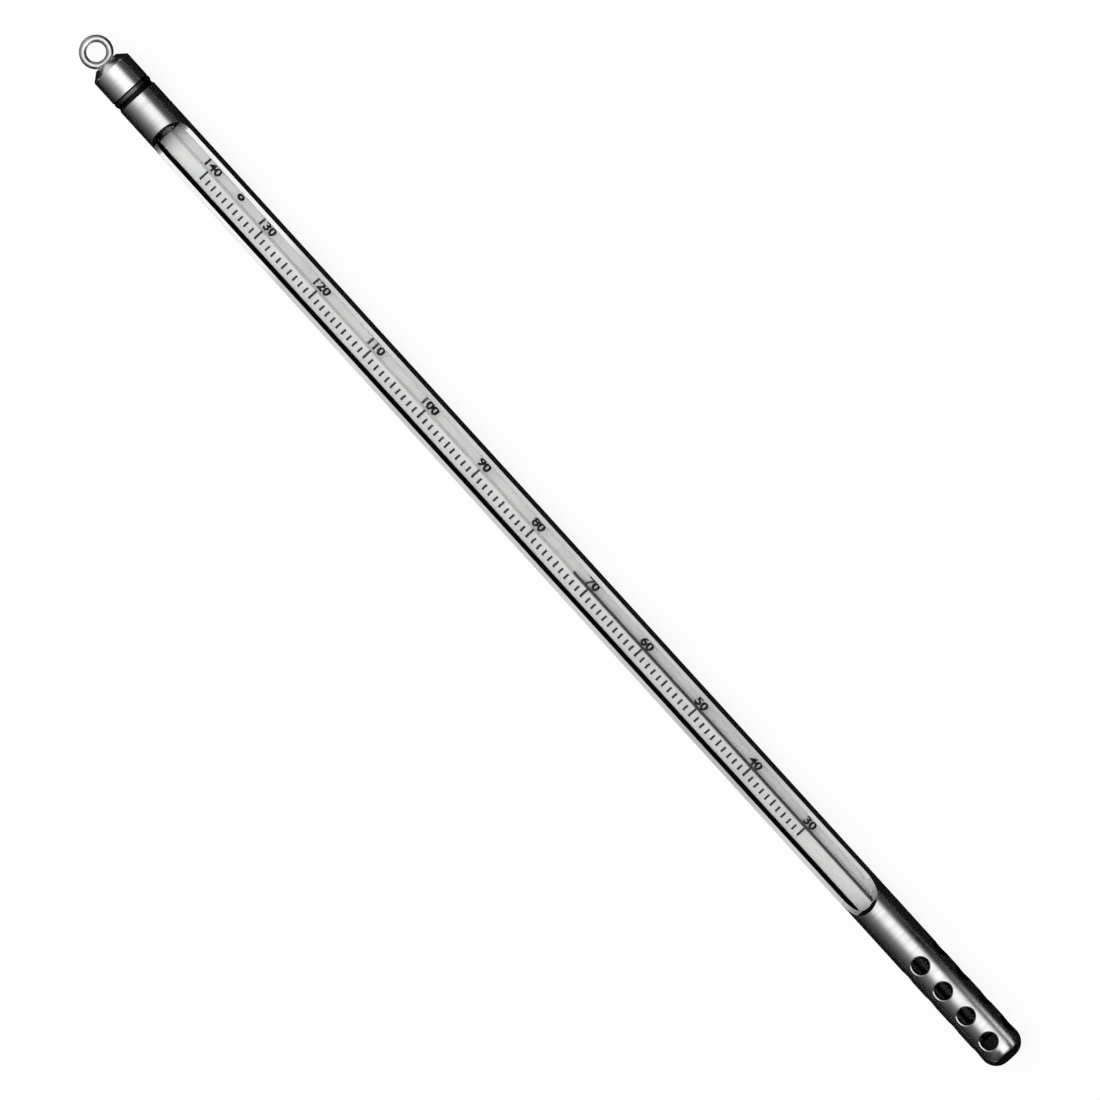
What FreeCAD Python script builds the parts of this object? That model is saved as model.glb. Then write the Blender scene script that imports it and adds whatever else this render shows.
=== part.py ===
import FreeCAD, Part
import math
import os

# Cased glass thermometer for a darkroom: a mercury-in-glass stem in a stainless tube.
# The tube has a long milled window over the scale and side holes round the bulb.
# A turned cap is crimped into the upper end and carries a swivel eye to hang it by.
#
# Frame: X runs along the tube with the eye at -X and the bulb at +X, Z points up
# through the window, and Y points to the side that carries the numerals. The origin is
# under the middle of the tube, on the surface that it lies on. Shapes are built round
# the tube's axis and lifted to their height when they are saved.
# Sizes are in millimetres, angles in degrees.

# Case tube
tube_diameter = 11.1
tube_wall = 0.95
tube_length = 323.0
tube_mouth_chamfer = 0.15
tip_round_radius = 4.2

# Rolled crimp that locks the cap, measured from the tube's mouth
crimp_offset = 1.7
crimp_width = 1.4
crimp_depth = 0.3

# Window milled into the tube: a flat above the axis with a cutter's run-out at each end
window_offset = 12.3
window_height = 2.1
upper_cutter_radius = 5.2
lower_cutter_radius = 11.2
cutter_overrun = 1.0
plain_length = 18.26

# Side holes round the bulb, measured from the tip
hole_diameter = 4.7
hole_pitch = 8.36
hole_stations = 4
hole_rows = 4
last_hole_offset = 6.95
hole_chamfer = 0.25
surface_tolerance = 0.001

# End cap
cap_nose_radius = 3.4
cap_cone_length = 1.85
cap_body_length = 7.25
cap_seam_chamfer = 0.2
spigot_length = 4.6
spigot_chamfer = 0.4
spigot_clearance = 0.03
crimp_clearance = 0.04

# Swivel eye: a wire ring on a shank that is headed over a washer inside the cap
eye_outer_diameter = 8.6
eye_wire_diameter = 1.85
eye_sink = 0.7
eye_turn = 16.0
dish_clearance = 0.15
shank_diameter = 1.7
shank_clearance = 0.05
swivel_wall = 3.7
swivel_play = 0.05
washer_diameter = 4.6
washer_thickness = 0.5
washer_clearance = 0.02
head_diameter = 3.2
head_thickness = 1.0
head_chamfer = 0.3
pocket_clearance = 0.3

# Glass stem, with its bore set to one side and an expansion chamber at the top
stem_diameter = 6.9
stem_end_round = 0.8
stem_turn = 20.0
bore_diameter = 0.5
bore_side_offset = 0.5
bore_back_offset = 0.1
chamber_diameter = 1.8
chamber_length = 4.0
chamber_offset = 1.0

# White enamel ribbon fused into the stem behind the bore
ribbon_width = 4.9
ribbon_thickness = 0.3
ribbon_back_offset = 0.75
ribbon_end_gap = 1.5

# Glass bulb fused to the stem
bulb_diameter = 6.2
bulb_length = 31.4
bulb_wall = 0.5
neck_diameter = 4.8
neck_length = 1.6
shoulder_length = 2.0

# Mercury, and the reading at which its column stands
low_mark_offset = 26.1
degree_pitch = 1.9895
low_reading = 30.0
reading = 72.8
slug_length = 1.0
thread_clearance = 0.03
liquid_clearance = 0.02

# Rubber packing that holds the glass
packing_clearance = 0.02
top_cushion_thickness = 2.4
tip_cushion_thickness = 5.0
tip_cushion_diameter = 8.0
tip_cushion_clearance = 0.1
upper_bushing_length = 4.0
lower_bushing_offset = 1.3
lower_bushing_length = 8.0
bushing_chamfer = 0.3

# Radii
tube_radius = tube_diameter / 2
tube_inner_radius = tube_radius - tube_wall
eye_outer_radius = eye_outer_diameter / 2
wire_radius = eye_wire_diameter / 2
shank_radius = shank_diameter / 2
washer_radius = washer_diameter / 2
stem_radius = stem_diameter / 2
bore_radius = bore_diameter / 2
bulb_radius = bulb_diameter / 2
neck_radius = neck_diameter / 2
hole_radius = hole_diameter / 2

# Places along the axis, from the eye end to the tip
overall_length = (
    eye_outer_diameter - eye_sink + cap_cone_length + cap_body_length + tube_length
)
eye_end = -overall_length / 2
eye_centre = eye_end + eye_outer_radius
nose_face = eye_end + eye_outer_diameter - eye_sink
cone_end = nose_face + cap_cone_length
tube_mouth = cone_end + cap_body_length
tip_end = tube_mouth + tube_length
spigot_end = tube_mouth + spigot_length
crimp_centre = tube_mouth + crimp_offset
last_hole = tip_end - last_hole_offset
first_hole = last_hole - (hole_stations - 1) * hole_pitch
window_start = tube_mouth + window_offset
window_end = first_hole - plain_length

# Inside the cap
dish_radius = eye_outer_radius + dish_clearance
washer_seat = eye_centre + dish_radius + swivel_wall
washer_start = washer_seat + swivel_play
washer_end = washer_start + washer_thickness
head_end = washer_end + head_thickness
pocket_radius = washer_radius + pocket_clearance

# Inside the tube: cushion, stem, bulb and cushion fill the length
tip_inner_face = tip_end - tube_wall
stem_start = spigot_end + top_cushion_thickness
bulb_end = tip_inner_face - tip_cushion_clearance - tip_cushion_thickness
stem_end = bulb_end - bulb_length
neck_end = stem_end + neck_length
shoulder_end = neck_end + shoulder_length
chamber_start = stem_start + chamber_offset
chamber_end = chamber_start + chamber_length
low_mark = window_end - low_mark_offset
mercury_top = low_mark - (reading - low_reading) * degree_pitch
slug_end = mercury_top + slug_length

origin = FreeCAD.Vector(0, 0, 0)
axis_x = FreeCAD.Vector(1, 0, 0)


def point(x, r):
    """Point of a profile: x along the tube's axis, r out from it."""
    return FreeCAD.Vector(x, 0, r)


def profile(start, *steps):
    """Closed face from a start point and steps; a step is a point, or an arc's two points."""
    edges = []
    here = start
    for step in steps:
        if isinstance(step, tuple):
            through, end = step
            edges.append(Part.Arc(here, through, end).toShape())
        else:
            end = step
            edges.append(Part.LineSegment(here, end).toShape())
        here = end
    edges.append(Part.LineSegment(here, start).toShape())
    return Part.Face(Part.Wire(edges))


def turned(start, *steps):
    """Solid turned about the tube's axis from a profile."""
    return profile(start, *steps).revolve(origin, axis_x, 360)


def rod(radius, x_start, x_end, y=0.0, z=0.0):
    """Round bar along X between two places."""
    return Part.makeCylinder(radius, x_end - x_start, FreeCAD.Vector(x_start, y, z), axis_x)


def corner_arc(centre_x, centre_r, radius):
    """Points halfway round and at the end of a quarter arc that turns in to face +X."""
    half = radius * math.sqrt(0.5)
    return (
        point(centre_x + half, centre_r + half),
        point(centre_x + radius, centre_r),
    )


def bore_place():
    """Where the bore's axis passes, beside and behind the tube's axis in the turned stem."""
    turn = math.radians(stem_turn)
    y = bore_side_offset * math.cos(turn) - bore_back_offset * math.sin(turn)
    z = -bore_side_offset * math.sin(turn) - bore_back_offset * math.cos(turn)
    return y, z


def bore_rod(radius, x_start, x_end):
    """Round bar on the bore's axis between two places."""
    y, z = bore_place()
    return rod(radius, x_start, x_end, y, z)


def window_cutter():
    """Prism that the milling cutter sweeps: a flat floor and a round run-out at each end."""
    top = tube_radius + cutter_overrun
    rise = tube_radius - window_height
    ends = []
    for radius in (upper_cutter_radius, lower_cutter_radius):
        run = math.sqrt(radius**2 - (radius - rise) ** 2)
        angle = math.asin(run / radius) / 2
        middle_run = run - radius * math.sin(angle)
        middle_rise = radius * (1 - math.cos(angle))
        ends.append((run, middle_run, middle_rise))
    upper, lower = ends
    face = profile(
        point(window_start, top),
        point(window_start, tube_radius),
        (
            point(window_start + upper[1], window_height + upper[2]),
            point(window_start + upper[0], window_height),
        ),
        point(window_end - lower[0], window_height),
        (
            point(window_end - lower[1], window_height + lower[2]),
            point(window_end, tube_radius),
        ),
        point(window_end, top),
    )
    reach = tube_radius + cutter_overrun
    face.translate(FreeCAD.Vector(0, -reach, 0))
    return face.extrude(FreeCAD.Vector(0, 2 * reach, 0))


def crimp_arc(surface_radius, clearance=0.0):
    """The rolled crimp's arc on a tube or spigot surface: its start, deepest point and end."""
    half = crimp_width / 2
    roll_radius = (half**2 + crimp_depth**2) / (2 * crimp_depth)
    roll_centre = tube_radius - crimp_depth + roll_radius
    radius = roll_radius + (tube_radius - surface_radius) + clearance
    reach = math.sqrt(radius**2 - (roll_centre - surface_radius) ** 2)
    return (
        point(crimp_centre - reach, surface_radius),
        point(crimp_centre, roll_centre - radius),
        point(crimp_centre + reach, surface_radius),
    )


def hole_rims(shape):
    """Edges where the side holes break the tube's outer surface."""
    rims = []
    for edge in shape.Edges:
        box = edge.BoundBox
        centre = edge.valueAt((edge.FirstParameter + edge.LastParameter) / 2)
        on_surface = abs(math.hypot(centre.y, centre.z) - tube_radius) < surface_tolerance
        beside_hole = first_hole - hole_pitch / 2 < centre.x < last_hole + hole_pitch / 2
        if on_surface and beside_hole and box.XLength > hole_radius:
            rims.append(edge)
    return rims


def case_tube():
    """Tube with its tip spun closed, the crimp, the window and the side holes."""
    tip_start = tip_end - tip_round_radius
    flat_radius = tube_radius - tip_round_radius
    outer_crimp = crimp_arc(tube_radius)
    inner_crimp = crimp_arc(tube_inner_radius)
    shape = turned(
        point(tube_mouth, tube_inner_radius),
        point(tube_mouth, tube_radius - tube_mouth_chamfer),
        point(tube_mouth + tube_mouth_chamfer, tube_radius),
        outer_crimp[0],
        outer_crimp[1:],
        point(tip_start, tube_radius),
        corner_arc(tip_start, flat_radius, tip_round_radius),
        point(tip_end, 0),
        point(tip_inner_face, 0),
        point(tip_inner_face, flat_radius),
        corner_arc(tip_start, flat_radius, tip_round_radius - tube_wall)[:1]
        + (point(tip_start, tube_inner_radius),),
        inner_crimp[2],
        (inner_crimp[1], inner_crimp[0]),
    )
    shape = shape.cut(window_cutter())
    for station in range(hole_stations):
        x = first_hole + station * hole_pitch
        for row in range(hole_rows):
            drill = Part.makeCylinder(hole_radius, tube_diameter, FreeCAD.Vector(x, 0, 0))
            drill.rotate(origin, axis_x, row * 360 / hole_rows)
            shape = shape.cut(drill)
    return shape.makeChamfer(hole_chamfer, hole_rims(shape))


def end_cap():
    """Turned cap with its dished nose, shank bore, washer pocket and crimped spigot."""
    spigot_radius = tube_inner_radius - spigot_clearance
    groove = crimp_arc(spigot_radius, crimp_clearance)
    shape = turned(
        point(nose_face, 0),
        point(nose_face, cap_nose_radius),
        point(cone_end, tube_radius),
        point(tube_mouth - cap_seam_chamfer, tube_radius),
        point(tube_mouth, tube_radius - cap_seam_chamfer),
        point(tube_mouth, spigot_radius),
        groove[0],
        groove[1:],
        point(spigot_end - spigot_chamfer, spigot_radius),
        point(spigot_end, spigot_radius - spigot_chamfer),
        point(spigot_end, 0),
    )
    dish = Part.makeSphere(dish_radius, FreeCAD.Vector(eye_centre, 0, 0))
    bore = rod(shank_radius + shank_clearance, eye_centre, spigot_end)
    pocket = rod(pocket_radius, washer_seat, spigot_end)
    return shape.cut(dish).cut(bore).cut(pocket)


def hanging_eye():
    """Wire ring, its shank through the cap and the head that keeps it in."""
    ring = Part.makeTorus(eye_outer_radius - wire_radius, wire_radius)
    ring.rotate(origin, axis_x, -eye_turn)
    ring.translate(FreeCAD.Vector(eye_centre, 0, 0))
    shank = rod(shank_radius, eye_centre + eye_outer_radius - wire_radius, washer_end)
    head = turned(
        point(washer_end, 0),
        point(washer_end, head_diameter / 2),
        point(head_end - head_chamfer, head_diameter / 2),
        point(head_end, head_diameter / 2 - head_chamfer),
        point(head_end, 0),
    )
    return ring.fuse(shank).fuse(head).removeSplitter()


def eye_washer():
    """Washer between the eye's head and its seat in the cap."""
    disc = rod(washer_radius, washer_start, washer_end)
    return disc.cut(rod(shank_radius + washer_clearance, washer_start, washer_end))


def ribbon():
    """Flat enamel ribbon behind the bore, from below the chamber to the stem's lower end."""
    start = chamber_end + ribbon_end_gap
    back = bore_back_offset + ribbon_back_offset
    corner = FreeCAD.Vector(start, -ribbon_width / 2, -back - ribbon_thickness)
    shape = Part.makeBox(stem_end - start, ribbon_width, ribbon_thickness, corner)
    shape.rotate(origin, axis_x, -stem_turn)
    return shape


def chamber():
    """Expansion chamber: a round-ended pocket at the top of the bore."""
    radius = chamber_diameter / 2
    half = radius * math.sqrt(0.5)
    top = chamber_start + radius
    bottom = chamber_end - radius
    shape = turned(
        point(chamber_start, 0),
        (point(top - half, half), point(top, radius)),
        point(bottom, radius),
        (point(bottom + half, half), point(chamber_end, 0)),
    )
    y, z = bore_place()
    shape.translate(FreeCAD.Vector(0, y, z))
    return shape


def glass_stem():
    """Solid glass rod with its bore, its chamber and the space that the ribbon fills."""
    half = stem_end_round * math.sqrt(0.5)
    round_x = stem_start + stem_end_round
    round_r = stem_radius - stem_end_round
    shape = turned(
        point(stem_start, 0),
        point(stem_start, round_r),
        (point(round_x - half, round_r + half), point(round_x, stem_radius)),
        point(stem_end, stem_radius),
        point(stem_end, 0),
    )
    bore = bore_rod(bore_radius, chamber_end - chamber_diameter / 2, stem_end)
    return shape.cut(bore.fuse(chamber())).cut(ribbon())


def bulb_space(clearance):
    """Space in the bulb and its neck, drawn in from the glass by a clearance."""
    radius = bulb_radius - bulb_wall - clearance
    dome_x = bulb_end - bulb_radius
    space = turned(
        point(neck_end + clearance, 0),
        point(shoulder_end + clearance, radius),
        point(dome_x, radius),
        corner_arc(dome_x, 0, radius),
    )
    return space


def glass_bulb():
    """Thin-walled bulb below a drawn neck."""
    dome_x = bulb_end - bulb_radius
    shape = turned(
        point(stem_end, 0),
        point(stem_end, stem_radius),
        point(neck_end, neck_radius),
        point(shoulder_end, bulb_radius),
        point(dome_x, bulb_radius),
        corner_arc(dome_x, 0, bulb_radius),
    )
    return shape.cut(bulb_space(0.0)).cut(bore_rod(bore_radius, stem_end, shoulder_end))


def mercury_reservoir():
    """Mercury that fills the bulb and the bore through its neck."""
    neck = bore_rod(bore_radius - thread_clearance, stem_end, shoulder_end)
    return bulb_space(liquid_clearance).fuse(neck).removeSplitter()


def mercury_thread():
    """Mercury in the stem's bore, from the neck up to the moving top."""
    return bore_rod(bore_radius - thread_clearance, slug_end, stem_end)


def mercury_meniscus():
    """Moving top of the mercury, with its domed surface."""
    radius = bore_radius - thread_clearance
    half = radius * math.sqrt(0.5)
    dome_x = mercury_top + radius
    shape = turned(
        point(mercury_top, 0),
        (point(dome_x - half, half), point(dome_x, radius)),
        point(slug_end, radius),
        point(slug_end, 0),
    )
    y, z = bore_place()
    shape.translate(FreeCAD.Vector(0, y, z))
    return shape


def sleeve(x_start, x_end):
    """Rubber sleeve between the stem and the tube, with its outer edges eased."""
    outer = tube_inner_radius - packing_clearance
    inner = stem_radius + packing_clearance
    return turned(
        point(x_start, inner),
        point(x_start, outer - bushing_chamfer),
        point(x_start + bushing_chamfer, outer),
        point(x_end - bushing_chamfer, outer),
        point(x_end, outer - bushing_chamfer),
        point(x_end, inner),
    )


def top_cushion():
    """Rubber disc between the cap's spigot and the top of the glass."""
    return rod(tube_inner_radius - packing_clearance, spigot_end, stem_start)


def upper_bushing():
    """Sleeve that centres the top of the stem, against the cushion."""
    return sleeve(stem_start, stem_start + upper_bushing_length)


def lower_bushing():
    """Sleeve that centres the stem below the window."""
    start = window_end + lower_bushing_offset
    return sleeve(start, start + lower_bushing_length)


def tip_cushion():
    """Rubber plug in the closed tip, dished to take the bulb's domed end."""
    radius = tip_cushion_diameter / 2
    face = tip_inner_face - tip_cushion_clearance
    flat_radius = tube_radius - tip_round_radius
    rounding = tip_round_radius - tube_wall - tip_cushion_clearance
    rise = min(radius - flat_radius, rounding)
    shoulder = tip_end - tip_round_radius + math.sqrt(rounding**2 - rise**2)
    shape = turned(
        point(bulb_end - bulb_radius / 2, 0),
        point(bulb_end - bulb_radius / 2, flat_radius + rise),
        point(shoulder, flat_radius + rise),
        point(face, flat_radius),
        point(face, 0),
    )
    dome = Part.makeSphere(
        bulb_radius + packing_clearance, FreeCAD.Vector(bulb_end - bulb_radius, 0, 0)
    )
    return shape.cut(dome)


pieces = {
    "case_tube": case_tube,
    "end_cap": end_cap,
    "hanging_eye": hanging_eye,
    "eye_washer": eye_washer,
    "top_cushion": top_cushion,
    "upper_bushing": upper_bushing,
    "glass_stem": glass_stem,
    "enamel_ribbon": ribbon,
    "glass_bulb": glass_bulb,
    "mercury_reservoir": mercury_reservoir,
    "mercury_thread": mercury_thread,
    "mercury_meniscus": mercury_meniscus,
    "lower_bushing": lower_bushing,
    "tip_cushion": tip_cushion,
}

os.makedirs("parts", exist_ok=True)
for name, build in pieces.items():
    solid = build()
    solid.translate(FreeCAD.Vector(0, 0, tube_radius))
    solid.exportStep("parts/" + name + ".step")
    box = solid.BoundBox
    print(
        f"{name}: {len(solid.Solids)} solid, valid {solid.isValid()}, {solid.Volume:.3f} mm3, "
        f"x {box.XMin:.2f}..{box.XMax:.2f}, z {box.ZMin:.2f}..{box.ZMax:.2f}"
    )
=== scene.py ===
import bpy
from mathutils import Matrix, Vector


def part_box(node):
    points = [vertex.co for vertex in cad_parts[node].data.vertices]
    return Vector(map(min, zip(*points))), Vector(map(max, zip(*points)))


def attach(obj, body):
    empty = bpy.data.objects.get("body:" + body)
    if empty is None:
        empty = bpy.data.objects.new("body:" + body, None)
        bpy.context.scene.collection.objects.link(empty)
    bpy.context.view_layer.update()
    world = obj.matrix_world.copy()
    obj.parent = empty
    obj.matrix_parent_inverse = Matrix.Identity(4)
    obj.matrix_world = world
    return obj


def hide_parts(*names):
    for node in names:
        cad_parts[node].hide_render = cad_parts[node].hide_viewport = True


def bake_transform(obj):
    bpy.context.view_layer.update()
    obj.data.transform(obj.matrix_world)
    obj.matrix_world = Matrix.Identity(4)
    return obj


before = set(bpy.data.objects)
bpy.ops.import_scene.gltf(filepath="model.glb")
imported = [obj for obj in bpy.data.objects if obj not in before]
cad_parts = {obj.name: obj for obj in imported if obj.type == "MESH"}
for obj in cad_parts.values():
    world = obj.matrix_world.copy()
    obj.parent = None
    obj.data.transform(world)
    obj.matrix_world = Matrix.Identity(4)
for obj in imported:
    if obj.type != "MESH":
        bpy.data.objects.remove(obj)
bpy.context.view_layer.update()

"""Looks of a cased glass thermometer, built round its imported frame.

The tube, cap, eye, glass, mercury and printed scale are modelled as meshes of their own. The
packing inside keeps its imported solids. Every length is in metres in the part's own frame: X runs
along the tube from the eye to the bulb, Z up through the window, Y to the numerals' side.
"""

import logging
import math
from dataclasses import dataclass
from enum import Enum
from typing import Any, Iterable, Mapping, Optional, Sequence, Union

import bmesh
import bpy
from mathutils import Matrix, Vector

LOG = logging.getLogger("thermometer")
MM = 0.001

Colour = tuple[float, float, float]
Point = tuple[float, float]
Number = Union[int, float]


# ---------------------------------------------------------------- shader writing


class Value:
    """One output socket of a shader graph, with Python's operators as Math nodes."""

    def __init__(self, graph: "Graph", socket: bpy.types.NodeSocket) -> None:
        """Wrap a socket.

        Args:
            graph: The graph that the socket is in.
            socket: The output socket.
        """
        self.graph = graph
        self.socket = socket

    def _math(self, operation: str, first: Any, second: Any = None) -> "Value":
        """Add a Math node.

        Args:
            operation: The node's operation.
            first: First operand.
            second: Second operand, if the operation takes one.

        Returns:
            The node's result.
        """
        sockets = {0: first} if second is None else {0: first, 1: second}
        return self.graph.make("ShaderNodeMath", {"operation": operation}, sockets)

    def __add__(self, other: Any) -> "Value":
        """Sum."""
        return self._math("ADD", self, other)

    def __radd__(self, other: Any) -> "Value":
        """Sum with a number on the left."""
        return self._math("ADD", other, self)

    def __sub__(self, other: Any) -> "Value":
        """Difference."""
        return self._math("SUBTRACT", self, other)

    def __rsub__(self, other: Any) -> "Value":
        """Difference from a number on the left."""
        return self._math("SUBTRACT", other, self)

    def __mul__(self, other: Any) -> "Value":
        """Product."""
        return self._math("MULTIPLY", self, other)

    def __rmul__(self, other: Any) -> "Value":
        """Product with a number on the left."""
        return self._math("MULTIPLY", other, self)

    def __truediv__(self, other: Any) -> "Value":
        """Quotient."""
        return self._math("DIVIDE", self, other)

    def __rtruediv__(self, other: Any) -> "Value":
        """Quotient of a number on the left."""
        return self._math("DIVIDE", other, self)

    def __pow__(self, other: Any) -> "Value":
        """Power."""
        return self._math("POWER", self, other)

    def __lt__(self, other: Any) -> "Value":
        """One where the value is below the other."""
        return self._math("LESS_THAN", self, other)

    def __gt__(self, other: Any) -> "Value":
        """One where the value is above the other."""
        return self._math("GREATER_THAN", self, other)

    def __neg__(self) -> "Value":
        """Negative."""
        return self._math("MULTIPLY", self, -1.0)

    def __abs__(self) -> "Value":
        """Size without its sign."""
        return self._math("ABSOLUTE", self)

    def spread(self, low: Number, high: Number, to_low: Number, to_high: Number) -> "Value":
        """Map a range of the value to another, clamped.

        Args:
            low: Value that maps to to_low.
            high: Value that maps to to_high.
            to_low: Result at low.
            to_high: Result at high.

        Returns:
            The mapped value.
        """
        sockets = {0: self, 1: low, 2: high, 3: to_low, 4: to_high}
        return self.graph.make("ShaderNodeMapRange", {"clamp": True}, sockets)


class Graph:
    """Shader graph of one material or world."""

    def __init__(self, owner: Union[bpy.types.Material, bpy.types.World]) -> None:
        """Start an empty graph.

        Args:
            owner: The material or world that the graph belongs to.
        """
        owner.use_nodes = True
        self.tree = owner.node_tree
        self.tree.nodes.clear()

    def make(
        self,
        kind: str,
        settings: Optional[Mapping[str, Any]] = None,
        sockets: Optional[Mapping[Union[int, str], Any]] = None,
        output: Union[int, str] = 0,
    ) -> Value:
        """Add a node, set it up and connect it.

        Args:
            kind: The node's type.
            settings: Attributes of the node, or stops of a colour ramp.
            sockets: Values or links of its inputs, by index or name.
            output: Which output to return.

        Returns:
            That output.
        """
        node = self.tree.nodes.new(kind)
        for key, value in (settings or {}).items():
            if key == "stops":
                self._set_stops(node.color_ramp, value)
            else:
                setattr(node, key, value)
        for key, value in (sockets or {}).items():
            if isinstance(value, Value):
                self.tree.links.new(value.socket, node.inputs[key])
            else:
                node.inputs[key].default_value = value
        return Value(self, node.outputs[output] if len(node.outputs) else None)

    @staticmethod
    def _set_stops(ramp: bpy.types.ColorRamp, stops: Sequence[tuple[float, Any]]) -> None:
        """Give a colour ramp its stops.

        Args:
            ramp: The ramp.
            stops: Position and grey level, or position and colour, of each stop.
        """
        while len(ramp.elements) < len(stops):
            ramp.elements.new(1.0)
        for element, (position, tone) in zip(ramp.elements, stops):
            element.position = position
            element.color = (*grey(tone), 1) if isinstance(tone, float) else (*tone, 1)

    def place(self, scale: Sequence[float] = (1, 1, 1)) -> Value:
        """Object coordinates, scaled.

        Args:
            scale: Scale along X, Y and Z.

        Returns:
            The coordinates.
        """
        coordinates = self.make("ShaderNodeTexCoord", output="Object")
        return self.make("ShaderNodeMapping", None, {"Vector": coordinates, "Scale": scale})

    def noise(self, scale: Sequence[float], detail: float = 2.0) -> Value:
        """Noise on object coordinates.

        Args:
            scale: Waves per metre along X, Y and Z.
            detail: Octaves of finer noise.

        Returns:
            Noise from 0 to 1.
        """
        sockets = {"Vector": self.place(scale), "Scale": 1.0, "Detail": detail}
        return self.make("ShaderNodeTexNoise", None, sockets, "Fac")

    def tint(self, amount: Any, first: Colour, second: Colour) -> Value:
        """Mix of two colours.

        Args:
            amount: Share of the second colour.
            first: First colour.
            second: Second colour.

        Returns:
            The mixed colour.
        """
        settings = {"data_type": "RGBA"}
        sockets = {0: amount, 6: (*first, 1), 7: (*second, 1)}
        return self.make("ShaderNodeMix", settings, sockets, 2)

    def bump(self, height: Any, distance: float, under: Optional[Value] = None) -> Value:
        """Bumped normal.

        Args:
            height: Height from 0 to 1.
            distance: Depth of the relief in metres.
            under: Normal of a relief that this one lies on.

        Returns:
            The normal.
        """
        sockets = {"Height": height, "Distance": distance, "Strength": 1.0}
        if under is not None:
            sockets["Normal"] = under
        return self.make("ShaderNodeBump", None, sockets)

    def seen_rays(self) -> Value:
        """One for camera, mirrored and refracted rays, and nought for the light they carry."""
        rays = [
            self.make("ShaderNodeLightPath", output=kind)
            for kind in ("Is Camera Ray", "Is Glossy Ray", "Is Transmission Ray")
        ]
        return (rays[0] + rays[1] + rays[2]).spread(0.0, 1.0, 0.0, 1.0)

    def finish(self, surface: Value, kind: str = "ShaderNodeOutputMaterial") -> None:
        """Connect the graph's shader to its output.

        Args:
            surface: The shader.
            kind: The output node's type.
        """
        self.make(kind, None, {"Surface": surface})


def grey(level: float) -> Colour:
    """Neutral colour of a level."""
    return (level,) * 3


# ---------------------------------------------------------------- finishes


@dataclass(frozen=True)
class Steel:
    """Stainless steel with turning marks round the tube and fine scratches along it."""

    name: str
    colour: Colour = (0.68, 0.68, 0.675)
    shade: Colour = (0.56, 0.56, 0.555)
    smooth: float = 0.15
    rough: float = 0.26
    metallic: float = 0.99
    marks: tuple[float, float, float] = (1500.0, 60.0, 60.0)
    scratches: tuple[float, float, float] = (45.0, 3200.0, 3200.0)
    patches: tuple[float, float, float] = (70.0, 160.0, 160.0)
    patch_share: float = 0.35
    mark_depth: float = 0.002 * MM
    scratch_depth: float = 0.00008 * MM
    scratch_haze: float = 0.02

    def build(self) -> bpy.types.Material:
        """Make the material."""
        material = bpy.data.materials.new(self.name)
        graph = Graph(material)
        marks = graph.noise(self.marks, 5.0)
        scratches = graph.noise(self.scratches, 2.0).spread(0.58, 0.72, 0.0, 1.0)
        patches = graph.noise(self.patches, 3.0)
        uneven = marks * (1 - self.patch_share) + patches * self.patch_share
        wear = uneven.spread(0.36, 0.64, 0.0, 1.0)
        finish = wear.spread(0.0, 1.0, self.smooth, self.rough) + scratches * self.scratch_haze
        relief = graph.bump(marks, self.mark_depth)
        sockets = {
            "Base Color": graph.tint(wear, self.colour, self.shade),
            "Metallic": self.metallic,
            "Roughness": finish,
            "Normal": graph.bump(scratches, self.scratch_depth, under=relief),
        }
        graph.finish(graph.make("ShaderNodeBsdfPrincipled", None, sockets))
        return material


@dataclass(frozen=True)
class Glass:
    """Clear glass that lets the lamps reach what it holds."""

    name: str = "clear_glass"
    colour: Colour = (0.96, 0.97, 0.965)
    index: float = 1.47
    smears: tuple[float, float, float] = (90.0, 500.0, 500.0)
    haze: float = 0.02

    def build(self) -> bpy.types.Material:
        """Make the material."""
        material = bpy.data.materials.new(self.name)
        graph = Graph(material)
        smears = graph.noise(self.smears)
        sockets = {
            "Color": (*self.colour, 1),
            "Roughness": smears.spread(0.4, 0.8, 0.0, self.haze),
            "IOR": self.index,
        }
        glass = graph.make("ShaderNodeBsdfGlass", None, sockets)
        clear = graph.make("ShaderNodeBsdfTransparent", None, {"Color": (*self.colour, 1)})
        lamp_ray = graph.make("ShaderNodeLightPath", output="Is Shadow Ray")
        graph.finish(graph.make("ShaderNodeMixShader", None, {0: lamp_ray, 1: glass, 2: clear}))
        return material


@dataclass(frozen=True)
class BoreWall:
    """Wall of the empty bore, seen through the glass as a faint grey line of painted shade."""

    name: str = "bore_wall"
    colour: Colour = grey(0.95)
    line: Colour = grey(0.10)
    share: float = 0.14
    uneven: float = 0.2
    streaks: tuple[float, float, float] = (60.0, 400.0, 400.0)

    def build(self) -> bpy.types.Material:
        """Make the material."""
        material = bpy.data.materials.new(self.name)
        graph = Graph(material)
        # Share of dark wall mixed into the clear one: painted shade along the bore.
        low, high = self.share * (1 - self.uneven), self.share * (1 + self.uneven)
        share = graph.noise(self.streaks).spread(0.3, 0.7, low, high)
        clear = graph.make("ShaderNodeBsdfTransparent", None, {"Color": (*self.colour, 1)})
        sockets = {"Base Color": (*self.line, 1), "Roughness": 0.5, "Specular IOR Level": 0.0}
        wall = graph.make("ShaderNodeBsdfPrincipled", None, sockets)
        graph.finish(graph.make("ShaderNodeMixShader", None, {0: share, 1: clear, 2: wall}))
        return material


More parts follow.
